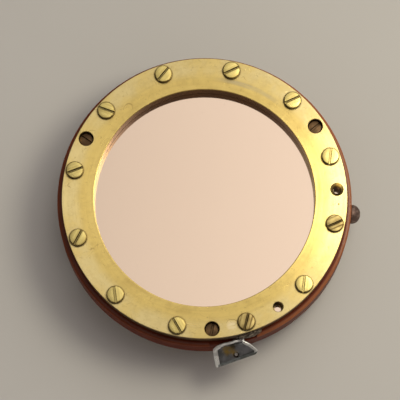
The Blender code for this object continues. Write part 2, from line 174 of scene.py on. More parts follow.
def carved(name, mesh, *cutters):
    """The mesh with each cutter's bmesh taken out of it."""
    blank = bpy.data.objects.new(name + "_blank", mesh)
    tools = [bpy.data.objects.new(f"{name}_tool_{i}", finish_mesh(f"{name}_tool_{i}", bm))
             for i, bm in enumerate(cutters)]
    for thing in (blank, *tools):
        bpy.context.scene.collection.objects.link(thing)
    for tool in tools:
        cut = blank.modifiers.new(tool.name, "BOOLEAN")
        cut.operation, cut.object, cut.solver = "DIFFERENCE", tool, "EXACT"
    bpy.context.view_layer.update()
    shaped = bpy.data.meshes.new_from_object(blank.evaluated_get(bpy.context.evaluated_depsgraph_get()))
    for thing in (blank, *tools):
        bpy.data.objects.remove(thing, do_unlink=True)
    shaped.name = name
    shaped.shade_smooth()
    shaped.set_sharp_from_angle(angle=math.radians(32))
    return shaped


def placed(mesh, place):
    """The mesh itself moved by place, so that the object can stay unrotated."""
    mesh = mesh.copy()
    mesh.transform(place)
    return mesh


def piece(name, mesh, look, nodes, body="capsule", place=None):
    """Put a finished mesh in the scene in place of CAD nodes."""
    made = bpy.data.objects.new(name, mesh)
    bpy.context.scene.collection.objects.link(made)
    made.matrix_world = place or Matrix.Identity(4)
    if not mesh.materials:
        mesh.materials.append(look)
    elif mesh.materials[0] is not look:
        made.material_slots[0].link = "OBJECT"
        made.material_slots[0].material = look
    flat = made.modifiers.new("flat faces", "WEIGHTED_NORMAL")
    flat.keep_sharp = True
    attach(made, body)
    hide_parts(*nodes)
    return made


def at(radius, degrees):
    angle = math.radians(degrees)
    return radius * math.cos(angle), radius * math.sin(angle)


def spaced(count, phase):
    return [phase + 360 / count * i for i in range(count)]


# ---- materials ----

class Nodes:
    """A node tree, with short calls for the few kinds of node used here."""

    def __init__(self, tree):
        self.tree = tree

    def link(self, socket, value):
        if isinstance(value, bpy.types.NodeSocket):
            self.tree.links.new(value, socket)
        else:
            socket.default_value = value

    def node(self, kind, inputs=(), output=0, **settings):
        made = self.tree.nodes.new("ShaderNode" + kind)
        for key, value in settings.items():
            setattr(made, key, value)
        for key, value in dict(inputs).items():
            self.link(made.inputs[key], value)
        return made.outputs[output]

    def math(self, operation, a, b=0.0, clamp=False):
        return self.node("Math", {0: a, 1: b}, operation=operation, use_clamp=clamp)

    def plus(self, a, b, clamp=False):
        return self.math("ADD", a, b, clamp)

    def minus(self, a, b):
        return self.math("SUBTRACT", a, b)

    def times(self, a, b):
        return self.math("MULTIPLY", a, b)

    def unsigned(self, value):
        return self.math("ABSOLUTE", value)

    def ramp(self, value, low, high, to_low=0.0, to_high=1.0):
        """value taken smoothly from the range low to high into the range to_low to to_high."""
        inputs = {"Value": value, "From Min": low, "From Max": high, "To Min": to_low, "To Max": to_high}
        return self.node("MapRange", inputs, interpolation_type="SMOOTHSTEP")

    def mix(self, factor, a, b):
        made = self.tree.nodes.new("ShaderNodeMix")
        made.data_type = "RGBA"
        self.link(made.inputs["Factor"], factor)
        self.link(made.inputs["A"], a)
        self.link(made.inputs["B"], b)
        return made.outputs["Result"]

    def axis(self, where, index):
        return self.node("SeparateXYZ", {0: where}, index)


class Look(Nodes):
    """A material being made, with its patterns in millimetres."""

    def __init__(self, name):
        self.material = bpy.data.materials.new(name)
        self.material.use_nodes = True
        super().__init__(self.material.node_tree)
        self.shader = self.tree.nodes["Principled BSDF"]

    def place(self, seed=0.0):
        """Object coordinates in millimetres, plain and shifted by seed so that like pieces differ."""
        coordinates = self.node("TexCoord", output="Object")
        plain = self.node("VectorMath", {0: coordinates, 1: (1000, 1000, 1000)}, operation="MULTIPLY")
        return plain, self.node("VectorMath", {0: plain, 1: (seed, seed * 1.7, seed * 0.6)}, operation="ADD")

    def radius(self, where):
        flat = self.node("VectorMath", {0: where, 1: (1, 1, 0)}, operation="MULTIPLY")
        return self.node("VectorMath", {0: flat}, "Value", operation="LENGTH")

    def distance(self, where, point):
        return self.node("VectorMath", {0: where, 1: point}, "Value", operation="DISTANCE")

    def noise(self, where, scale, detail=3.0, roughness=0.55, distortion=0.0):
        inputs = {"Vector": where, "Scale": scale, "Detail": detail, "Roughness": roughness,
                  "Distortion": distortion}
        return self.node("TexNoise", inputs)

    def lines(self, along, scale, seed=0.0):
        """Noise along one number: grooves left by a turning tool."""
        inputs = {"W": self.plus(along, seed), "Scale": scale, "Detail": 2.0}
        return self.node("TexNoise", inputs, noise_dimensions="1D")

    def streaks(self, where, radius, along, across):
        """Noise drawn out around the axis: along and across are its scales each way."""
        x, y = (self.times(self.axis(where, index), along) for index in (0, 1))
        warped = self.node("CombineXYZ", {0: x, 1: y, 2: self.times(radius, across)})
        return self.noise(warped, 1.0, 4.0)

    def scratches(self, where, scale, width):
        """Thin broken lines where a slow noise passes through its middle value."""
        slow = self.noise(where, scale, 1.0, 0.4, 0.6)
        lines = self.ramp(self.unsigned(self.minus(slow, 0.5)), 0.0, width, 1.0, 0.0)
        return self.times(lines, self.ramp(self.noise(where, scale * 1.9, 1.0), 0.52, 0.6))

    def crevice_shade(self, distance_mm, closed, open_):
        """Painted shade: 1 in slots and corners within distance_mm of other surfaces, 0 on open faces."""
        seen = self.node("AmbientOcclusion", {"Distance": distance_mm * MM}, "AO", samples=8)
        return self.ramp(seen, closed, open_, 1.0, 0.0)

    def bump(self, height, distance_mm, strength=1.0):
        inputs = {"Strength": strength, "Distance": distance_mm * MM, "Height": height}
        self.link(self.shader.inputs["Normal"], self.node("Bump", inputs))

    def surface(self, **sockets):
        for key, value in sockets.items():
            self.link(self.shader.inputs[key.replace("_", " ")], value)
        return self.material


RING_LIGHT, RING_DARK, RING_PALE = (0.71, 0.53, 0.175), (0.44, 0.31, 0.10), (0.72, 0.58, 0.27, 1)
SCREW_LIGHT, SCREW_DARK = (0.78, 0.63, 0.23), (0.38, 0.28, 0.085)
BROWN_LIGHT, BROWN_DARK = (0.56, 0.44, 0.18), (0.20, 0.135, 0.05)
# the sunk screws' very dark brass: painted shade of their counterbores, over tarnish
SUNK_SHADED_LIGHT, SUNK_SHADED_DARK = (0.11, 0.066, 0.034), (0.05, 0.028, 0.015)
FRESH_BRASS, SCRATCH, SMEAR_GREY = (0.86, 0.72, 0.46, 1), (0.27, 0.17, 0.06, 1), (0.46, 0.39, 0.24, 1)
HOLE_WALL_SHADE, FLANK_SHADE_AND_TARNISH, BORE_PAINTED_REFLECTION = (0.10, 0.055, 0.03, 1), (0.16, 0.09, 0.04, 1), (0.47, 0.26, 0.075, 1)
HEAD_EDGE_SHADE, CREVICE_SHADE = (0.13, 0.08, 0.02, 1), (0.045, 0.024, 0.012, 1)

# AO levels at which the painted crevice shade is full, and at which it is gone
RING_SHADE_AO, SLOT_SHADE_AO = (0.42, 0.97), (0.35, 0.88)
LIGHT_SLOT_SHADE_AO, SUNK_SHADE_AO = (0.2, 0.72), (0.1, 0.5)


def worn_ring_face(look, spot, radius, streaks, blotches, scratches, colour, dark):
    """Rubbed pale outside, mottled, nicked, with a worn spot and a grey smear: colour and scratches."""
    plain, where = spot
    rubbed = look.times(look.ramp(radius, 14.3, 15.7), look.ramp(blotches, 0.35, 0.6, 0.35, 1.0))
    colour = look.mix(rubbed, colour, RING_PALE)
    mottle = look.ramp(look.noise(where, 1.3, 5.0, 0.7), 0.45, 0.65, 0.0, 0.2)
    colour = look.mix(mottle, colour, (*dark, 1))

    scraped = look.distance(plain, (*SCRAPE, RING_TOP))
    scraped = look.plus(scraped, look.times(look.noise(where, 1.6, 2.0), 0.5))
    patch = look.times(look.ramp(scraped, 0.5, 1.1, 0.7, 0.0), look.ramp(streaks, 0.35, 0.6, 0.4, 1.0))
    colour = look.mix(patch, colour, FRESH_BRASS)
    rim = look.ramp(look.unsigned(look.minus(scraped, 1.02)), 0.0, 0.07, 1.0, 0.0)
    upper = look.ramp(look.axis(plain, 1), SCRAPE[1] + 0.2, SCRAPE[1] + 0.5)
    nicks = look.times(look.scratches(where, 1.3, 0.012), 0.8)
    scratches = look.plus(look.plus(scratches, nicks), look.times(rim, upper), clamp=True)
    colour = look.mix(look.times(scratches, 0.6), colour, SCRATCH)

    smear = look.ramp(look.unsigned(look.minus(radius, SMEAR_R)), 0.05, 0.42, 1.0, 0.0)
    spread = look.distance(plain, (*at(SMEAR_R, SMEAR_DEG), RING_TOP))
    smear = look.times(smear, look.ramp(spread, 1.5, 5.0, 0.75, 0.0))
    smear = look.times(smear, look.ramp(streaks, 0.3, 0.55, 0.35, 1.0))
    return look.mix(smear, colour, SMEAR_GREY), scratches


def shaded_ring_walls(look, plain, radius, blotches, colour):
    """Painted shade on the hole walls and flank, oxidised brown and grooves on the flank, and a painted dark
    reflection on the bore towards +Y: colour and flank grooves.
    """
    height = look.unsigned(look.axis(plain, 2))
    # painted shade on the hole walls, counterbore floors, flank and underside, everything lower than the face
    # but the bore
    inside = look.times(look.ramp(height, RING_TOP - 0.5, RING_TOP - 0.15, 1.0, 0.0),
                        look.ramp(radius, RING_BORE_R + 0.4, RING_BORE_R + 0.6))
    colour = look.mix(look.times(inside, 0.8), colour, HOLE_WALL_SHADE)

    # the flank: painted shade over oxidised brass
    flank = look.times(look.ramp(radius, RING_R - 0.03, RING_R - 0.01),
                       look.ramp(height, RING_TOP - 0.25, RING_TOP - 0.1, 1.0, 0.0))
    grooves = look.lines(height, 5.0)
    wiped = look.plus(look.times(blotches, 0.65), look.times(grooves, 0.35))
    colour = look.mix(look.times(flank, look.ramp(wiped, 0.4, 0.56, 0.78, 1.0)), colour, FLANK_SHADE_AND_TARNISH)

    # painted dark reflection on the bore wall, towards +Y
    bore = look.times(look.ramp(radius, RING_BORE_R + 0.01, RING_BORE_R + 0.05, 1.0, 0.0),
                      look.ramp(height, RING_TOP - 0.2, RING_TOP - 0.1, 1.0, 0.0))
    bore = look.times(bore, look.ramp(look.axis(plain, 1), 2.0, 9.0))
    return look.mix(bore, colour, BORE_PAINTED_REFLECTION), look.times(flank, grooves)


def brass_look(name, seed, light, dark, roughness, tarnish, shade_ao, filed=False, ring=False):
    """Worked brass with tarnish, hair scratches and painted shade in its crevices.

    It is turned about the part's axis, or filed along X with painted shade along the head's edge. A clamp
    ring also has its wear, its walls darkened by painted shade (over oxidised brass on the flank) and a
    smoother bore. shade_ao is (closed, open) for crevice_shade().
    """
    look = Look(name)
    plain, where = look.place(seed)
    radius = look.radius(plain)
    along = look.axis(plain, 1) if filed else radius
    streaks = look.streaks(where, along, 0.22, 2.6)
    blotches = look.noise(where, 0.32, 4.0, 0.6)
    specks = look.ramp(look.noise(where, 2.6, 2.0), 0.69, 0.76)
    scratches = look.scratches(where, 0.5, 0.006)
    coarse, fine = look.lines(along, 3.2, seed), look.lines(along, 14.0, seed)

    stain = look.plus(look.times(look.ramp(streaks, 0.4, 0.75), 0.5),
                      look.times(look.ramp(blotches, 0.42, 0.75), 0.7))
    stain = look.plus(look.times(stain, tarnish), look.times(specks, 0.35 * tarnish), clamp=True)
    if filed:
        file_marks = look.ramp(coarse, 0.42, 0.62)
        stain = look.plus(stain, look.times(file_marks, 0.55 * tarnish), clamp=True)
    colour = look.mix(stain, (*light, 1), (*dark, 1))
    rough = look.plus(look.times(streaks, 0.16), roughness - 0.08)
    rough = look.plus(rough, look.times(stain, 0.12))
    height = look.plus(look.times(coarse, 0.5), look.times(fine, 0.22))

    if filed:
        # painted shade: the head darkens along its edge, where it meets the ring
        edge = look.plus(radius, look.times(look.noise(where, 2.4, 2.0), 0.14))
        colour = look.mix(look.ramp(edge, HEAD_R - 0.09, HEAD_R + 0.02, 0.0, 0.85), colour, HEAD_EDGE_SHADE)
    if ring:
        colour, scratches = worn_ring_face(look, (plain, where), radius, streaks, blotches, scratches, colour,
                                           dark)
        colour, flank_grooves = shaded_ring_walls(look, plain, radius, blotches, colour)
        height = look.plus(height, look.times(flank_grooves, 0.7))
        smooth_bore = look.ramp(radius, RING_BORE_R + 0.08, RING_BORE_R + 0.13, 0.75, 1.0)
        rough = look.times(rough, smooth_bore)

    look.bump(look.minus(height, look.times(scratches, 0.4)), 0.02, 0.35)
    # painted shade: the brass is darker and rougher in slots, holes and corners
    painted_shade = look.crevice_shade(0.24 if ring else 0.45, *shade_ao)
    colour = look.mix(painted_shade, colour, CREVICE_SHADE)
    rough = look.plus(rough, look.times(painted_shade, 0.25))
    look.surface(Base_Color=colour, Metallic=1.0, Roughness=rough)
    if not filed:
        tangent = look.node("Tangent", direction_type="RADIAL", axis="Z")
        look.surface(Anisotropic=0.5, Anisotropic_Rotation=0.25, Tangent=tangent)
    return look.material


def film_look():
    """A mirror-like metal coating, a little hazy and dusty."""
    look = Look("metallised_film")
    _, where = look.place(3.0)
    haze = look.noise(where, 0.12, 3.0)
    dust = look.ramp(look.noise(where, 3.1, 1.0), 0.77, 0.8)
    colour = look.mix(look.times(haze, 0.35), (0.82, 0.642, 0.508, 1), (0.76, 0.587, 0.468, 1))
    colour = look.mix(look.times(dust, 0.3), colour, (0.35, 0.26, 0.2, 1))
    look.bump(look.noise(where, 0.35, 2.0), 0.001, 0.4)
    return look.surface(Base_Color=colour, Metallic=1.0, Roughness=look.plus(look.times(haze, 0.04), 0.045))


def rubber_look():
    """Polished red-brown hard rubber, faintly turned, dusty, with a slightly worn corner that carries a
    painted highlight towards +X.
    """
    look = Look("red_hard_rubber")
    plain, where = look.place(1.0)
    radius, height = look.radius(plain), look.axis(plain, 2)
    cloud = look.noise(where, 0.5, 4.0)
    colour = look.mix(look.ramp(cloud, 0.35, 0.7), (0.118, 0.021, 0.008, 1), (0.155, 0.031, 0.012, 1))
    dust = look.times(look.ramp(look.noise(where, 2.2, 3.0), 0.58, 0.78), 0.1)
    colour = look.mix(dust, colour, (0.24, 0.12, 0.08, 1))
    # the corner is slightly paler all round from wear, and much paler towards +X: a painted highlight where
    # the key light falls
    corner = look.times(look.ramp(radius, BODY_R - 0.5, BODY_R - 0.25),
                        look.ramp(look.unsigned(height), BODY_HALF - 0.35, BODY_HALF - 0.12))
    highlight_side = look.ramp(look.axis(plain, 0), -2.0, 14.0, 0.12, 0.7)
    colour = look.mix(look.times(corner, highlight_side), colour, (0.42, 0.15, 0.06, 1))
    grooves = look.plus(look.times(look.lines(height, 5.0), 0.6), look.times(look.lines(radius, 4.0), 0.3))
    look.bump(grooves, 0.02, 0.25)
    return look.surface(Base_Color=colour, Roughness=look.plus(look.times(cloud, 0.14), 0.16),
                        Specular_IOR_Level=0.0, Coat_Weight=0.24, Coat_Roughness=0.1)


def plated_look(name, bright, dull, roughness, seed, metallic=1.0, spots=()):
    """Tin-plated sheet: cloudy, with fine scratches; spots are dark patches, painted highlights and painted
    shade, each (place, solid within, gone at, colour).
    """
    look = Look(name)
    plain, where = look.place(seed)
    cloud = look.noise(where, 0.9, 4.0, 0.6, 0.3)
    scratches = look.scratches(where, 1.1, 0.012)
    colour = look.mix(look.ramp(cloud, 0.38, 0.66), bright, dull)
    colour = look.mix(look.times(scratches, 0.5), colour, (0.75, 0.72, 0.66, 1))
    for place, within, gone, shade in spots:
        fade = gone - within
        away = look.plus(look.distance(plain, place), look.times(look.noise(where, 2.6, 3.0), fade))
        colour = look.mix(look.ramp(away, within + 0.3 * fade, gone, 0.9, 0.0), colour, (*shade, 1))
    look.bump(look.minus(look.times(cloud, 0.6), look.times(scratches, 0.3)), 0.04, 0.3)
    return look.surface(Base_Color=colour, Metallic=metallic,
                        Roughness=look.plus(look.times(cloud, 0.2), roughness - 0.1))


def solder_look():
    """Dull solder, scraped along the ring, with patches of burnt flux."""
    look = Look("dull_solder")
    plain, where = look.place(5.0)
    grains = look.noise(where, 3.4, 3.0, 0.65)
    scraped = look.streaks(where, look.radius(plain), 1.2, 9.0)
    patches = look.noise(where, 1.5, 3.0)
    mottle = look.plus(look.times(grains, 0.5), look.times(scraped, 0.5))
    colour = look.mix(look.ramp(mottle, 0.42, 0.6), (0.045, 0.032, 0.022, 1), (0.36, 0.29, 0.21, 1))
    colour = look.mix(look.ramp(patches, 0.46, 0.58, 0.0, 0.7), colour, (0.06, 0.035, 0.02, 1))
    look.bump(mottle, 0.08, 0.7)
    return look.surface(Base_Color=colour, Metallic=0.8, Roughness=look.plus(look.times(patches, 0.35), 0.25))


def pin_look():
    """Blackened metal, worn through in patches."""
    look = Look("blackened_pin")
    _, where = look.place(9.0)
    cloud = look.noise(where, 1.6, 4.0)
    colour = look.mix(look.ramp(cloud, 0.5, 0.72), (0.12, 0.075, 0.06, 1), (0.30, 0.21, 0.165, 1))
    look.bump(look.noise(where, 5.0, 2.0), 0.02, 0.3)
    return look.surface(Base_Color=colour, Metallic=0.7, Roughness=look.plus(look.times(cloud, 0.2), 0.36))


def felt_look():
    """Matted pale fibres."""
    look = Look("damping_felt")
    _, where = look.place(2.0)
    fibres = look.noise(where, 7.0, 5.0, 0.7, 1.5)
    colour = look.mix(look.ramp(fibres, 0.3, 0.7), (0.30, 0.27, 0.22, 1), (0.52, 0.48, 0.41, 1))
    look.bump(fibres, 0.15, 0.8)
    return look.surface(Base_Color=colour, Roughness=0.92, Sheen_Weight=0.3)


def shim_look():
    """Clouded amber plastic sheet."""
    look = Look("spacer_shim")
    _, where = look.place(4.0)
    cloud = look.noise(where, 0.8, 3.0)
    colour = look.mix(cloud, (0.50, 0.36, 0.17, 1), (0.64, 0.50, 0.28, 1))
    return look.surface(Base_Color=colour, Roughness=look.plus(look.times(cloud, 0.2), 0.3))


ring_brass = brass_look("turned_ring_brass", 0.0, RING_LIGHT, RING_DARK, 0.30, 0.5, RING_SHADE_AO, ring=True)
screw_brass = [
    brass_look(f"screw_brass_{i}", 11.0 + 7 * i, SCREW_LIGHT, SCREW_DARK, 0.27, 0.5, SLOT_SHADE_AO, True)
    for i in range(4)]
# less tarnish, and lighter painted shade in the slots, for three of the screws
clean_light_shade_brass = brass_look("clean_light_shade_screw_brass", 46.0, SCREW_LIGHT, SCREW_DARK, 0.27, 0.25, LIGHT_SLOT_SHADE_AO, True)
brown_brass = brass_look("browned_screw_brass", 60.0, BROWN_LIGHT, BROWN_DARK, 0.4, 0.9, SLOT_SHADE_AO, True)
# painted shade: the sunk screws are darkened as if shaded in their counterbores
sunk_shaded_brass = brass_look("sunk_screw_brass_painted_shade", 75.0, SUNK_SHADED_LIGHT, SUNK_SHADED_DARK, 0.4, 0.8, SUNK_SHADE_AO)
inner_brass = brass_look("inner_brass", 90.0, RING_LIGHT, RING_DARK, 0.32, 0.3, SLOT_SHADE_AO)
film = film_look()
hard_rubber = rubber_look()
solder = solder_look()
blackened = pin_look()
felt = felt_look()
shim = shim_look()

# the tag's inner face is dark along the bend, with two painted golden highlights and painted shade round its
# wire hole
OLIVE, GOLD_HIGHLIGHT, WIRE_HOLE_SHADE = (0.055, 0.045, 0.02), (0.36, 0.25, 0.055), (0.035, 0.02, 0.01)
TAG_PAINTED_SPOTS = (((*at(17.75, TAG_DEG - 0.5), 1.8), 0.3, 1.5, OLIVE),
             ((*at(18.3, TAG_DEG - 2.6), 1.6), 0.3, 1.4, GOLD_HIGHLIGHT),
             ((*at(18.6, TAG_DEG - 0.2), 1.45), 0.2, 1.1, GOLD_HIGHLIGHT),
             ((*at(18.95, TAG_DEG + 0.5), 1.3), 0.3, 0.62, WIRE_HOLE_SHADE))
tag_metal = plated_look("plated_tag_face", (0.25, 0.27, 0.265, 1), (0.12, 0.13, 0.12, 1), 0.2, 6.0,
                        spots=TAG_PAINTED_SPOTS)
# lit and shaded copies of the tag's plate: the rim, flat part and rear tag paler and less metallic as a
# painted highlight, the stem near black as painted shade under the ring
highlight_plate = plated_look("plated_tag_rim_highlight", (0.74, 0.74, 0.71, 1), (0.46, 0.45, 0.43, 1), 0.3, 8.0,
                        metallic=0.6)
shade_plate = plated_look("plated_tag_stem_shade", (0.10, 0.07, 0.05, 1), (0.05, 0.03, 0.02, 1), 0.5, 4.0,
                         metallic=0.5)


# ---- clamp rings ----

def hole_steps(radius, top, bottom, chamfer=0.05):
    """A drill with a small chamfer where it enters at height top."""
    return [(0, top + 0.3), (radius + chamfer, top + 0.3), (radius + chamfer, top), (radius, top - chamfer),
            (radius, bottom), (0, bottom)]


def clamp_ring_mesh(pit):
    corners = [(RING_R, RING_BOTTOM), (RING_R, RING_TOP), (RING_BORE_R, RING_TOP), (RING_BORE_R, RING_BOTTOM)]
    blank = turned("clamp_ring_blank", soften(corners, (0.05, 0.06, 0.09, 0.05), 5))
    above, below = RING_TOP + 0.3, RING_BOTTOM - 0.5
    bm = bmesh.new()
    through = hole_steps(SHANK_HOLE_R, RING_TOP, below)
    for degrees in spaced(12, SCREW_PHASE):
        turn_into(bm, through, DRILL_ROUND, False, at(SCREW_CIRCLE, degrees))
    for degrees in spaced(3, MOUNT_PHASE):
        steps = hole_steps(MOUNT_HOLE_R, RING_TOP, MOUNT_FLOOR)[:-1]
        steps += [(SHANK_HOLE_R, MOUNT_FLOOR), (SHANK_HOLE_R, below), (0, below)]
        turn_into(bm, steps, SMALL_ROUND, False, at(MOUNT_CIRCLE, degrees))
    dowel = [(0, above), (DOWEL_SINK_R, above), (DOWEL_SINK_R, RING_TOP),
             (DOWEL_SINK_R - 0.04, RING_TOP - 0.05), (DOWEL_HOLE_R, RING_TOP - 0.45), (DOWEL_HOLE_R, below),
             (0, below)]
    turn_into(bm, dowel, SMALL_ROUND, False, at(SCREW_CIRCLE, DOWEL_DEG))
    sight = hole_steps(SIGHT_R, RING_TOP, SIGHT_STEP, 0.06)[:-1]
    sight += [(SIGHT_CORE_R, SIGHT_STEP - 0.05), (SIGHT_CORE_R, below), (0, below)]
    turn_into(bm, sight, SMALL_ROUND, False, at(SCREW_CIRCLE, SIGHT_DEG))
    if pit:
        dent = [(0, RING_TOP + 0.1), (0.13, RING_TOP + 0.1), (0.1, RING_TOP), (0.05, RING_TOP - 0.09),
                (0, RING_TOP - 0.1)]
        turn_into(bm, dent, 16, False, PIT)
    return carved("clamp_ring", blank, bm)


for side, half in HALVES.items():
    mesh = clamp_ring_mesh(pit=side == "front")
    piece(side + "_clamp_ring_turned", placed(mesh, half), ring_brass, [side + "_clamp_ring"])


# ---- screws ----

def slot_into(bm, top, reach, lean=0.0):
    """A screwdriver slot along X with eased upper edges and a slightly rounded floor."""
    half, ease, floor = SLOT_WIDTH / 2, 0.03, top - SLOT_DEPTH
    section = [(-half + ease, floor), (half - ease, floor), (half, floor + 0.04), (half, top - ease),
               (half + ease, top + 0.01), (half + ease, top + 0.3), (-half - ease, top + 0.3),
               (-half - ease, top + 0.01), (-half, top - ease), (-half, floor + 0.04)]
    prism_into(bm, section, -reach, reach, Matrix.Translation((0, lean * MM, 0)))


def cheese_head(radius, under, top, crown):
    """Half profile of a turned head: eased lower edge, rounded upper edge, slightly crowned face."""
    edge = top - crown
    side = soften([(SHANK_R, under), (radius, under), (radius, edge), (SHANK_R, edge + crown * 0.8)],
                  (0, 0.03, 0.07, 0), 4)
    return side + [(SHANK_R * 0.4, top - crown * 0.04), (0, top)]


def screw_mesh(name, tip, radius, under, top, crown, lean=0.0):
    """A plain shank from tip up to under, and a slotted cheese head; lean puts the slot off centre."""
    profile = [(0, tip), (SHANK_R - 0.06, tip), (SHANK_R, tip + 0.06),
               *cheese_head(radius, under, top, crown)]
    bm = bmesh.new()
    slot_into(bm, top, radius + CLEAR, lean)
    return carved(name, turned(name + "_blank", profile, SMALL_ROUND, False), bm)


def stood(half, circle, degrees, turn):
    """A screw's place on one half of the capsule, with its slot turned."""
    x, y = at(circle, degrees)
    return half @ Matrix.Translation((x * MM, y * MM, 0)) @ Matrix.Rotation(math.radians(turn), 4, "Z")


screw_meshes = [screw_mesh(f"ring_screw_{i}", SHANK_END, HEAD_R, HEAD_UNDER, HEAD_TOP, 0.012, lean)
                for i, lean in enumerate((0.0, 0.05, -0.04))]
mount_mesh = screw_mesh("mounting_screw", MOUNT_TIP, MOUNT_HEAD_R, MOUNT_UNDER, MOUNT_TOP, 0.02)
for side, half in HALVES.items():
    slots = FRONT_SLOTS if side == "front" else REAR_SLOTS
    for i, (degrees, turn) in enumerate(zip(spaced(12, SCREW_PHASE), slots)):
        look = clean_light_shade_brass if i in CLEAN_LIGHT_SHADE_SCREWS else screw_brass[i % 4]
        if side == "front" and i in BROWN_HEADS:
            look = brown_brass
        node = f"{side}_ring_screw_{i + 1:02d}"
        piece(node + "_cheese_head", screw_meshes[i % 3], look, [node],
              place=stood(half, SCREW_CIRCLE, degrees, turn))
    for i, (degrees, turn) in enumerate(zip(spaced(3, MOUNT_PHASE), MOUNT_SLOTS)):
        node = f"{side}_mounting_screw_{i + 1}"
        piece(node + "_sunk_head", mount_mesh, sunk_shaded_brass, [node],
              place=stood(half, MOUNT_CIRCLE, degrees, turn))


# ---- body ring ----

def body_mesh():
    corners = [(BODY_R, BODY_HALF), (SEAT_R, BODY_HALF), (SEAT_R, SEAT_Z), (BORE_R, SEAT_Z),
               (BORE_R, WEB_HALF), (WEB_R, WEB_HALF)]
    radii = [0.25, 0.05, 0.03, 0.05, 0.03, 0.05]
    corners += [(radius, -height) for radius, height in reversed(corners)]
    blank = turned("body_blank", soften(corners, radii + radii[::-1], 6))
    above_web, below_web = WEB_HALF + CLEAR, -WEB_HALF - CLEAR
    blind = [(0, SEAT_Z + 0.5), (SHANK_HOLE_R, SEAT_Z + 0.5), (SHANK_HOLE_R, MOUNT_HOLE_END),
             (0, MOUNT_HOLE_END)]
    through = [(0, above_web), (SHANK_HOLE_R, above_web), (SHANK_HOLE_R, below_web), (0, below_web)]
    cutters = []
    for half in HALVES.values():
        bm = bmesh.new()
        for degrees in spaced(3, MOUNT_PHASE):
            turn_into(bm, blind, DRILL_ROUND, False, at(MOUNT_CIRCLE, degrees))
        for degrees in spaced(3, PLATE_SCREW_PHASE):
            turn_into(bm, through, DRILL_ROUND, False, at(PLATE_SCREW_CIRCLE, degrees))
        block_into(bm, TAG_NOTCH_U, TAG_NOTCH_V, TAG_NOTCH_Z, TAG_DEG)
        bmesh.ops.transform(bm, matrix=half, verts=bm.verts)
        cutters.append(bm)
    pocket, tunnel = bmesh.new(), bmesh.new()
    block_into(pocket, (-0.9, 0.9), (11.9, 13.45), (below_web, above_web), TERMINAL_DEG)
    mouth = TUNNEL_R + 0.1
    turn_into(tunnel, [(0, 13.2), (TUNNEL_R, 13.2), (TUNNEL_R, BODY_R - 0.04), (mouth, BODY_R + 0.06),
                       (mouth, BODY_R + 1), (0, BODY_R + 1)], DRILL_ROUND, False)
    bmesh.ops.transform(tunnel, matrix=radial(TERMINAL_DEG), verts=tunnel.verts)
    return carved("body_ring_polished", blank, *cutters, pocket, tunnel)


def radial(degrees):
    """Lays a piece turned about +Z along the azimuth degrees."""
    return Matrix.Rotation(math.radians(degrees), 4, "Z") @ Matrix.Rotation(math.pi / 2, 4, "Y")


piece("body_ring_polished", body_mesh(), hard_rubber, ["body_ring"])


# ---- terminals and solder ----

def terminal_mesh():
    steps = 14
    base, rise = TERMINAL_SEAT + 0.06, TERMINAL_DOME_R - 0.09
    dome = [(TERMINAL_DOME_R * math.cos(a), base + rise * math.sin(a) ** 0.9)
            for a in (math.pi / 2 * i / steps for i in range(steps))]
    profile = [(0, TERMINAL_TIP), (TERMINAL_SHANK_R, TERMINAL_TIP), (TERMINAL_SHANK_R, TERMINAL_SEAT),
               (TERMINAL_DOME_R - 0.04, TERMINAL_SEAT), *dome, (0, base + rise)]
    return turned("terminal_dome", profile, SMALL_ROUND, False)


piece("backplate_terminal_dome", placed(terminal_mesh(), radial(TERMINAL_DEG)), blackened,
      ["backplate_terminal"])


def bent(point):
    """Where a point of the flat tag (u, v, height above the sheet's underside) goes once it is bent."""
    u, v, height = point
    length = 0.36
    slope, start = math.radians(TAG_SLOPE), TAG_BEND - length / 2
    past = v - start
    if past <= 0:
        return Vector((u, v, TAG_LEVEL + height))
    angle = min(past / length, 1.0) * slope
    curve = length / slope
    beyond = max(past - length, 0.0)
    along = curve * math.sin(angle) + beyond * math.cos(slope)
    down = curve * (1 - math.cos(angle)) + beyond * math.sin(slope)
    return Vector((u, start + along + height * math.sin(angle), TAG_LEVEL - down + height * math.cos(angle)))


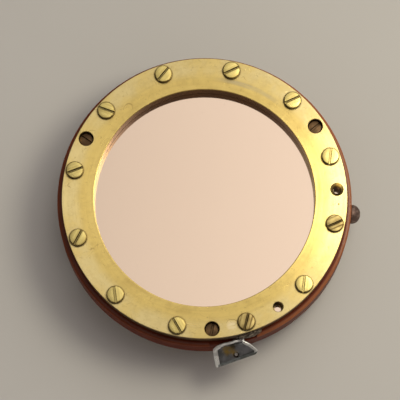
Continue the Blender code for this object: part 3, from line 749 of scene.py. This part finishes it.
def front_tag_blank():
    """The flat tag: a raised, rolled rim around a plain field. Materials: 0 field, 1 rim, 2 stem."""
    outline = [(-0.1, 16.80), (-0.1, 17.22), (1.2, 17.28), (2.1, 17.52), (2.45, 17.78), (2.48, 18.0),
               (2.48, 19.93), (2.28, 20.07), (-2.48, 19.33), (-2.72, 19.04), (-2.72, 18.75), (-1.9, 17.8),
               (-1.4, 17.5), (-1.4, 16.80)]
    smooth = soften(outline, (0, 0.1, 0.4, 0.25, 0.11, 0.08, 0.1, 0.1, 0.12, 0.1, 0.1, 0.25, 0.15, 0), 4)
    bm = bmesh.new()
    face = bm.faces.new([bm.verts.new((u, v, 0)) for u, v in smooth])
    if face.normal.z < 0:
        face.normal_flip()
    grown = bmesh.ops.extrude_face_region(bm, geom=[face])
    top = [f for f in grown["geom"] if isinstance(f, bmesh.types.BMFace)][0]
    bmesh.ops.translate(bm, verts=top.verts, vec=(0, 0, TAG_THICK - 0.06))
    for inset, rise in ((0.05, 0.04), (0.05, 0.02), (0.12, 0.0), (0.06, -0.05), (0.05, -0.03)):
        bmesh.ops.inset_region(bm, faces=[top], thickness=inset, depth=0)
        bmesh.ops.translate(bm, verts=top.verts, vec=(0, 0, rise))
    for vert in top.verts:
        if vert.co.x > 1.6:
            vert.co.x -= 0.2
    for f in bm.faces:
        f.material_index = 1
    top.material_index = 0
    for line in (STEM_END, *(TAG_BEND - 0.2 + 0.05 * step for step in range(9))):
        bmesh.ops.bisect_plane(bm, geom=bm.verts[:] + bm.edges[:] + bm.faces[:],
                               plane_co=(0, line, 0), plane_no=(0, 1, 0))
    for f in bm.faces:
        u, v, _ = f.calc_center_median()
        if v < STEM_END:
            f.material_index = 2
        elif v < TAG_BEND - 0.1:
            f.material_index = 1
        elif u < 1.9 and v > 19.4 + 0.155 * u:
            f.material_index = 0
    bmesh.ops.triangulate(bm, faces=[f for f in bm.faces if len(f.verts) > 4])
    bmesh.ops.recalc_face_normals(bm, faces=bm.faces)
    blank = bpy.data.meshes.new("tag_blank")
    bm.to_mesh(blank)
    bm.free()
    for look in (tag_metal, highlight_plate, shade_plate):
        blank.materials.append(look)
    return blank


def front_tag_mesh():
    drill = bmesh.new()
    sink_r, hole_r = 0.34, 0.2
    turn_into(drill, [(0, 1), (sink_r, 1), (sink_r, TAG_THICK - 0.04), (hole_r, TAG_THICK - 0.2),
                      (hole_r, -1), (0, -1)], 32, False, TAG_HOLE)
    bmesh.ops.scale(drill, vec=(1 / MM,) * 3, verts=drill.verts)
    shaped = carved("front_tag", front_tag_blank(), drill)
    turn = Matrix.Rotation(math.radians(TAG_DEG - 90), 3, "Z")
    for vert in shaped.vertices:
        vert.co = (turn @ bent(vert.co)) * MM
    shaped.update()
    return shaped


piece("front_terminal_tag_rolled", front_tag_mesh(), tag_metal, ["front_terminal_tag"])


def bead_mesh(name, start, end, top, reach, seed):
    """A run of solder in the corner between ring and body: uneven, with blunt drawn-in ends."""
    stations, sides = 36, 14
    inner, low = RING_R + 0.02, BODY_HALF + 0.03
    bm = bmesh.new()
    loops = []
    for i in range(stations):
        share = i / (stations - 1)
        full = 0.3 + 0.7 * math.sin(math.pi * share) ** 0.5
        lump = noise.noise(Vector((share * 5.0, seed, 0.0)))
        height = (top - low) * full * (1 + 0.16 * lump)
        depth = (reach - inner) * full * (1 + 0.2 * noise.noise(Vector((share * 7.0, seed, 4.0))))
        section = [(inner, low)]
        for k in range(sides):
            a = math.pi / 2 * k / (sides - 1)
            bulge = 1 + 0.10 * noise.noise(Vector((share * 9.0, a * 2.5, seed)))
            out = max(depth * math.cos(a) ** 0.8 * bulge, 0.0) if k < sides - 1 else 0.0
            section.append((min(inner + out, SOLDER_LIMIT),
                            low + min(height * math.sin(a) ** 0.9 * bulge, top - low)))
        degrees = start + (end - start) * share
        loops.append([bm.verts.new(Vector((*at(r, degrees), z)) * MM) for r, z in section])
    for one, two in zip(loops, loops[1:]):
        for k in range(len(one)):
            j = (k + 1) % len(one)
            bm.faces.new((one[k], one[j], two[j], two[k]))
    bm.faces.new(loops[0])
    bm.faces.new(reversed(loops[-1]))
    return finish_mesh(name, bm, 50)


front_bead = bead_mesh("front_bead", -76.4, -66.6, 3.6, SOLDER_REACH[0], 1.3)
piece("front_tag_solder_bead", front_bead, solder, ["front_tag_solder"])
rear_bead = bead_mesh("rear_bead", -71.4, -66.2, 3.3, SOLDER_REACH[1], 6.1)
piece("rear_tag_solder_bead", placed(rear_bead, TURNED_OVER), solder, ["rear_tag_solder"])


def rear_tag_mesh():
    """The rear tag, folded flat against the ring, with rounded corners and its stem under the ring."""
    half, top, middle = 2.0, 3.9, 2.8
    near, far = RING_R + 0.04, RING_R + 0.04 + TAG_THICK
    corners = [(-half, TAG_LEVEL), (half, TAG_LEVEL), (half, top), (-half, top)]
    outline = soften(corners, (0.08, 0.08, 0.5, 0.5), 6)
    bm = bmesh.new()
    layers = []
    for v, shrink in ((near, 0.03), (near + 0.03, 0.0), (far - 0.06, 0.0), (far - 0.02, 0.02), (far, 0.06)):
        layers.append([
            bm.verts.new(Vector((u * (1 - shrink / 2), v, middle + (z - middle) * (1 - shrink / 1.2))) * MM)
            for u, z in outline])
    for one, two in zip(layers, layers[1:]):
        for k in range(len(outline)):
            j = (k + 1) % len(outline)
            bm.faces.new((one[k], one[j], two[j], two[k]))
    bm.faces.new(layers[0])
    bm.faces.new(reversed(layers[-1]))
    bmesh.ops.transform(bm, matrix=Matrix.Rotation(math.radians(TAG_DEG - 90), 4, "Z"), verts=bm.verts)
    return finish_mesh("rear_tag", bm)


piece("rear_terminal_tag_folded", placed(rear_tag_mesh(), TURNED_OVER), highlight_plate,
      ["rear_terminal_tag"])


# ---- CAD pieces that keep their own shape ----

KEPT_LOOKS = {
    "diaphragm": film, "tension_ring": inner_brass, "spacer_ring": shim, "backplate": inner_brass,
    "backplate_screw": sunk_shaded_brass, "damping_pad": felt, "contact_block": inner_brass,
}
for name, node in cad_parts.items():
    for ending, look in KEPT_LOOKS.items():
        if name.rstrip("_0123456789").endswith(ending):
            node.data.materials.clear()
            node.data.materials.append(look)


# ---- floor, light and camera ----

FLOOR_HALF, CAMERA_DISTANCE = 3.0, 0.3306       # metres
CAMERA_LENS, CAMERA_SENSOR, CAMERA_ELEVATION_DEG = 250, 36, 78.7
CAMERA_TARGET = (-0.54, -0.35, RING_TOP)


def floor():
    bm = bmesh.new()
    bmesh.ops.create_grid(bm, x_segments=8, y_segments=8, size=FLOOR_HALF)
    made = bpy.data.objects.new("floor", finish_mesh("floor", bm))
    bpy.context.scene.collection.objects.link(made)
    made.location.z = cad_low.z
    look = Look("pale_floor")
    _, where = look.place()
    colour = look.mix(look.noise(where, 0.02, 3.0), (0.56, 0.54, 0.51, 1), (0.62, 0.60, 0.57, 1))
    made.data.materials.append(look.surface(Base_Color=colour, Roughness=0.75, Specular_IOR_Level=0.2))


def area_light(name, place, target, size, watts, colour):
    data = bpy.data.lights.new(name, "AREA")
    data.shape, data.size, data.energy, data.color = "DISK", size * MM, watts, colour
    lamp = bpy.data.objects.new(name, data)
    bpy.context.scene.collection.objects.link(lamp)
    lamp.location = Vector(place) * MM
    lamp.rotation_euler = (Vector(target) - Vector(place)).to_track_quat("-Z", "Y").to_euler()


def studio():
    """A bright overhead panel on the +Y side, a flagged-off side towards -Y, and a pale horizon."""
    world = bpy.data.worlds.new("studio")
    bpy.context.scene.world = world
    world.use_nodes = True
    sky = Nodes(world.node_tree)
    direction = sky.node("TexCoord", output="Generated")
    x, y, z = (sky.axis(direction, index) for index in range(3))
    overhead = sky.ramp(z, 0.30, 0.72)
    far_side = sky.ramp(y, -0.08, 0.05)
    near_side = sky.minus(1.0, far_side)
    panel = sky.times(far_side, sky.ramp(x, -0.35, 0.35, 0.24, 1.72))
    panel = sky.plus(panel, sky.times(near_side, sky.ramp(y, -0.75, -0.42, 0.3, 0.085)))
    level = sky.plus(sky.times(panel, overhead), sky.ramp(overhead, 0.0, 1.0, 0.5, 0.0))
    tint = sky.mix(sky.times(overhead, near_side), (1.0, 0.955, 0.90, 1), (1.0, 0.84, 0.82, 1))
    background = sky.tree.nodes["Background"]
    sky.link(background.inputs["Strength"], level)
    sky.link(background.inputs["Color"], tint)


def camera():
    data = bpy.data.cameras.new("camera")
    data.lens, data.sensor_width = CAMERA_LENS, CAMERA_SENSOR
    data.clip_start, data.clip_end = 0.01, 20
    made = bpy.data.objects.new("camera", data)
    bpy.context.scene.collection.objects.link(made)
    elevation = math.radians(CAMERA_ELEVATION_DEG)
    towards = Vector((0, -math.cos(elevation), math.sin(elevation)))
    made.location = Vector(CAMERA_TARGET) * MM + towards * CAMERA_DISTANCE
    made.rotation_euler = (-towards).to_track_quat("-Z", "Y").to_euler()
    bpy.context.scene.camera = made


floor()
studio()
area_light("key", (44, 18, 92), (10, 0, 0), 40, 0.034, (1.0, 0.94, 0.74))
camera()
bpy.context.scene.view_settings.view_transform = "Standard"
